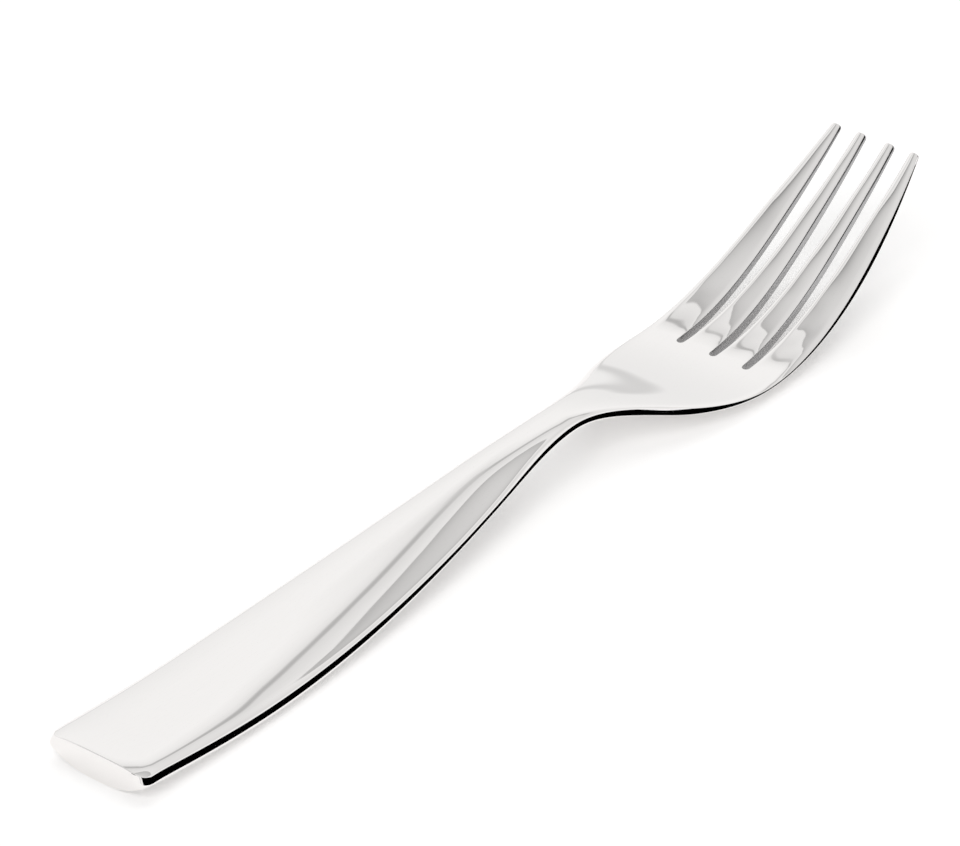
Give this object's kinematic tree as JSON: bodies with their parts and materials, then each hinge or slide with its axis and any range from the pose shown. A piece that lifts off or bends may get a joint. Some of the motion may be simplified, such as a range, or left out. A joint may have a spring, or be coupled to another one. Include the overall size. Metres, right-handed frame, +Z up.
{
  "type": "dinner fork",
  "caption": "One-piece table fork with a broad crowned handle ending in a flat butt, a slim arched neck and a shallow head with upswept tapering tines.",
  "frame": {"origin": "middle of the fork's box, on the table that it lies on", "axes": "+Y along the fork from the butt to the tips, +X to the right of someone who holds the butt, +Z up, with the tips turned up"},
  "size_m": [0.0282, 0.2008, 0.0245],
  "materials": {
    "steel": "mirror-polished stainless steel"
  },
  "bodies": {
    "root": {"butt": "steel", "grip": "steel", "neck": "steel", "head": "steel", "tine_1": "steel", "tine_2": "steel", "tine_3": "steel", "tine_4": "steel"}
  },
  "joints": []
}
